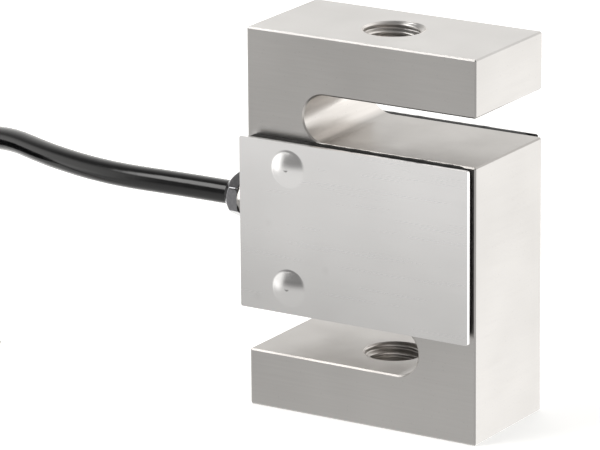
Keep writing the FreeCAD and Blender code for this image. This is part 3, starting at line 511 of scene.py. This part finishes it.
def makeTie(name, angle, node):
    out = np.array([math.cos(angle), math.sin(angle), 0])
    along = np.array([-math.sin(angle), math.cos(angle), 0])
    upward = np.array([0, 0, 1])
    headHalf, stubHalf = tie["head"], tie["stub"]
    path, outward = roundedPath(*tie["half"], tie["bend"])
    away, aside = boxSection(tie["thickness"] / 2, tie["width"] / 2, 20)
    place = path[:, None, :] + outward[:, None, :] * away[None, :, None] + tie["section"]
    strapGrid = hankCentre + place[..., :1] * out + place[..., 1:] * upward + aside[None, :, None] * along
    axes = [out, along, upward]
    topLevel = tie["section"][1] + tie["half"][1]
    head = hankCentre + out * tie["headOut"] + upward * (topLevel + headHalf[2])
    stub = head + out * (headHalf[0] + stubHalf[0] - tie["stubOverlap"]) - upward * tie["stubDrop"]
    grids = [(strapGrid * mm, True), (softBlock(head, headHalf, axes) * mm, False),
             (softBlock(stub, stubHalf, axes) * mm, False)]
    piece = gridPiece(name, grids, strap, sharp=50)
    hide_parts(node)
    return piece


ties = [makeTie("cable_tie_back", math.pi / 2, "hank_tie_back"),
        makeTie("cable_tie_front", -math.pi / 2, "hank_tie_front")]
print("ties ready")


# cut end of the cable: a shrunk sleeve, four insulated conductors with bare tips, and the twisted shield
sleeve = {"back": 7.0, "length": 12.0, "radius": 2.8, "neck": 2.15, "neckFrom": 7.0, "neckRun": 2.6,
          "turnIn": 0.18, "turnRun": 0.3, "ripple": 0.03, "ripplePerMm": 2.1, "plugInset": 0.3,
          "plugDepth": 0.8}
cutEnd = {"offset": 0.95, "straight": 7.0, "bend": 18.0, "spread": 3.0, "bare": 6.0, "underSkin": 1.2,
          "insulation": 0.45, "strand": 0.3, "shield": 0.6, "strands": 7, "twistMm": 4.0, "pointFrom": 0.93,
          "pointShare": 0.35}
tailEnd = tailRoute[-1]
ahead = tailRoute[-1] - tailRoute[-2]
ahead = ahead / np.linalg.norm(ahead)
aside = np.array([-ahead[1], ahead[0], 0])
above = np.array([0.0, 0.0, 1.0])


def ringsAlong(centres, radius, columns, lobes=0, depth=0.0, twist=0.0):
    # a tube: circles square to a line of centres; with lobes, the radius dips between them and winds along it
    run = np.gradient(centres, axis=0)
    run /= np.linalg.norm(run, axis=1, keepdims=True)
    sideways = np.cross(above, run)
    sideways /= np.linalg.norm(sideways, axis=1, keepdims=True)
    upwards = np.cross(run, sideways)
    walked = np.concatenate([[0], np.cumsum(np.linalg.norm(np.diff(centres, axis=0), axis=1))])
    angle = 2 * np.pi * np.arange(columns) / columns
    wound = angle[None, :] - (2 * np.pi * walked / twist)[:, None] if lobes else 0
    wave = 1 - depth + depth * np.cos(lobes * wound)
    reach = np.broadcast_to(np.asarray(radius, float).reshape(-1, 1) * wave, (len(centres), columns))
    return (centres[:, None, :] + (reach * np.cos(angle))[..., None] * sideways[:, None, :]
            + (reach * np.sin(angle))[..., None] * upwards[:, None, :])


def makeSleeve():
    # the outer line steps down from the jacket to the conductors, turns in at the mouth and stops at a plug
    s = np.linspace(0, sleeve["length"], 49)
    outer = sleeve["radius"] + (sleeve["neck"] - sleeve["radius"]) * smoothStep(
        (s - sleeve["neckFrom"]) / sleeve["neckRun"])
    ripple = sleeve["ripple"] * np.sin(s * sleeve["ripplePerMm"]) * np.clip(s - sleeve["neckFrom"], 0, 1)
    outer -= sleeve["turnIn"] * np.clip(1 - s / sleeve["turnRun"], 0, 1) + ripple
    s = np.concatenate([s, [sleeve["length"], sleeve["length"] - sleeve["plugDepth"]]])
    outer = np.concatenate([outer, [sleeve["neck"] - sleeve["plugInset"]] * 2])
    start = tailEnd - ahead * sleeve["back"]
    angle = 2 * np.pi * np.arange(40) / 40
    ring = np.cos(angle)[:, None] * aside + np.sin(angle)[:, None] * above
    grid = start + s[:, None, None] * ahead + outer[:, None, None] * ring[None]
    piece = gridPiece("shrink_sleeve_end", [(grid * mm, False)], shrink, sharp=50)
    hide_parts("end_sleeve")
    return piece


def lineOf(points):
    # the smooth line that a NURBS spline with these control points follows, in millimetres
    guide = splineCurve("guide", points)
    guide.data.splines[0].resolution_u = 14
    mesh = bpy.data.meshes.new_from_object(guide)
    line = np.empty(len(mesh.vertices) * 3)
    mesh.vertices.foreach_get("co", line)
    bpy.data.objects.remove(guide)
    bpy.data.meshes.remove(mesh)
    return line.reshape(-1, 3) / mm


def makeConductor(colour, side, level, fan, reach):
    # out of the sleeve, then fanned out and down until it lies on the floor; beyond its insulation the bare
    # strand sinks to the floor, and the shield comes to a blunt point
    radius = cutEnd["insulation"] if colour != "shield" else cutEnd["shield"]
    first = tailEnd + aside * side * cutEnd["offset"] + above * level * cutEnd["offset"]
    drop = above * (radius - tailEnd[2])
    spread = aside * fan * cutEnd["spread"]
    tip = tailEnd + ahead * reach + spread + drop
    bend = tailEnd + ahead * cutEnd["bend"] + spread * 0.5 + drop * 0.75
    line = lineOf([first, first + ahead * cutEnd["straight"], bend, tip])
    line = line if np.linalg.norm(line[0] - first) < 1 else line[::-1]
    strands, twist = cutEnd["strands"], cutEnd["twistMm"]
    if colour == "shield":
        point = (np.arange(len(line)) / len(line) - cutEnd["pointFrom"]) / (1 - cutEnd["pointFrom"])
        thickness = radius * (1 - cutEnd["pointShare"] * smoothStep(point))
        grid = ringsAlong(line, thickness, 36, lobes=strands, depth=0.12, twist=twist)
        made = [gridPiece("twisted_shield", [(grid * mm, False)], copper)]
    else:
        left = np.linalg.norm(line - tip, axis=1)
        skin = ringsAlong(line[left >= cutEnd["bare"]], radius, 24)
        stripped = left <= cutEnd["bare"] + cutEnd["underSkin"]
        sunk = smoothStep((cutEnd["bare"] - left[stripped]) / cutEnd["bare"])
        strandLine = line[stripped] + above * (cutEnd["strand"] - radius) * sunk[:, None]
        bare = ringsAlong(strandLine, cutEnd["strand"], 28, lobes=strands, depth=0.13, twist=twist)
        made = [gridPiece("conductor_" + colour, [(skin * mm, False)], insulation[colour],
                          sharp=50),
                gridPiece("bare_tip_" + colour, [(bare * mm, False)], copper)]
    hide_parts("tail_" + colour)
    return made


# each conductor's side and level at the sleeve, its place in the fan and how far it reaches. The white core
# ends 1.1 mm and the shield 1.6 mm short of their solids
conductors = {"red": (1, 1, 2, 29), "white": (1, -1, 1, 30.9), "shield": (0, 0, 0, 32.4),
              "green": (-1, -1, -1, 31), "black": (-1, 1, -2, 28)}
endPieces = [makeSleeve()]
for colour, facts in conductors.items():
    endPieces += makeConductor(colour, *facts)
print("cut end ready")


# cable gland: the hexagon of the body and the nut that clamps the cable, both with their edges turned off.
# Places run along the gland's axis from the block outwards
gland = {"level": 38.1, "flats": 8.0, "sharpness": 44, "edge": 0.12, "columns": 144, "bore": 2.5,
         "nut": (-33.7, -37.4), "nutSeat": 3.2, "nutShoulder": 4.3, "nutLip": 0.3, "nose": 2.75,
         "body": (-19.4, -35.3), "shank": 3.5, "spigot": 3.3, "flange": (-27.4, -28.6), "flangeRadius": 5.5,
         "hexEnd": -33.6, "hexShoulder": 4.2, "chamferSlope": 1.6, "chamferReach": 2, "step": 0.05}


def hexRadius(angle, flats, turn):
    # distance to the nearest of six flats, blended at the corners by adding high powers of the cosines
    sharpness = gland["sharpness"]
    across = np.cos(angle[..., None] - turn - np.arange(6) * np.pi / 3)
    return flats / 2 / (np.clip(across, 0, 1) ** sharpness).sum(-1) ** (1 / sharpness)


def hexPiece(name, stations, turn, material, node):
    # stations are (place, turned radius, whether the hexagon cuts it). Where it does, the radius is the
    # smaller of the turned line and the hexagon, blended over a small edge
    x, turned, share = (np.array(column, float)[:, None] for column in zip(*stations))
    angle = 2 * np.pi * np.arange(gland["columns"])[None, :] / gland["columns"]
    six = hexRadius(angle, gland["flats"], turn) + 0 * x
    gap = turned - six
    lower = (turned + six - np.sqrt(gap ** 2 + gland["edge"] ** 2)) / 2
    radius = np.where(share > 0, lower, turned + 0 * angle)
    grid = np.stack([x + 0 * radius, radius * np.sin(angle), gland["level"] + radius * np.cos(angle)], -1)
    piece = gridPiece(name, [(grid * mm, True)], material, sharp=32)
    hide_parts(node)
    return piece


def makeGland():
    bore, nose, step, lip = gland["bore"], gland["nose"], gland["step"], gland["nutLip"]
    back, front = gland["nut"]
    shoulder = gland["nutShoulder"]
    nut = [(back, bore, 0), (back, gland["nutSeat"], 0), (back, shoulder, 1)]
    nut += [(x, nose + x - front if x < back - lip else shoulder + step + back - x, 1)
            for x in np.linspace(back - 0.02, front + step, 34)]
    nut += [(front, nose - 0.03, 0), (front, bore + step, 0), (front + lip, bore, 0)]
    inner, outer = gland["body"]
    near, far = gland["flange"]
    flange, shank, spigot, end = (gland[k] for k in ("flangeRadius", "shank", "spigot", "hexEnd"))
    shoulder, slope, most = gland["hexShoulder"], gland["chamferSlope"], gland["chamferReach"]
    body = [(inner, bore, 0), (inner, shank, 0), (near, shank, 0), (near, flange - 0.2, 0),
            (near - 0.1, flange, 0), (far + 0.15, flange, 0), (far, flange - 0.15, 0), (far, shoulder, 1)]
    body += [(x, shoulder + step + min(abs(x - far), abs(x - end), most) * slope, 1)
             for x in np.linspace(far - step, end + step, 26)]
    body += [(end, shoulder, 1), (end, spigot, 0), (outer, spigot, 0), (outer, bore, 0)]
    return [hexPiece("clamping_nut", nut, math.pi / 2, nutMetal, "gland_nut"),
            hexPiece("gland_hexagon", body, 0, hexMetal, "gland_body")]


glandPieces = makeGland()
print("gland ready")


# silicone bead pressed out between the block and each cover, a little uneven along its edge
beadLine = {"half": (1.25, 1.1), "corner": 1.5, "recess": 0.1, "uneven": 0.15, "rise": 0.5,
            "waves": ((0.41, 0), (0.93, 1), (2.1, 2))}


def makeBead(name, node):
    # a box-like section carried round a rectangle; its outer side waves in by the sum of three sines of the
    # distance run, and along the top it is pressed out further, towards the slot's edge
    low, high = (np.array(v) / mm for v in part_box(node))
    centre, half = (low + high) / 2, (high - low) / 2
    inset = beadLine["half"][0]
    path, outward = roundedPath(half[0] - inset, half[2] - inset, beadLine["corner"], perCorner=7, perSide=60)
    run = np.concatenate([[0], np.cumsum(np.linalg.norm(np.diff(path, axis=0), axis=1))])
    wave = 0.5 + sum(np.sin(run * perMm + phase) for perMm, phase in beadLine["waves"]) / 6
    away, through = boxSection(*beadLine["half"], 24, power=0.45)
    edge = beadLine["rise"] * np.clip(outward[:, 1], 0, 1) - beadLine["recess"] - beadLine["uneven"] * wave
    reach = away[None, :] + edge[:, None] * (away > 0)[None, :]
    place = path[:, None, :] + outward[:, None, :] * reach[..., None]
    grid = np.stack([place[..., 0], through[None, :] + 0 * reach, place[..., 1]], -1) + centre
    piece = gridPiece(name, [(grid * mm, True)], bead)
    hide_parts(node)
    return piece


makeBead("bead_behind_front_cover", "front_seal")
makeBead("bead_behind_back_cover", "back_seal")
print("beads ready")
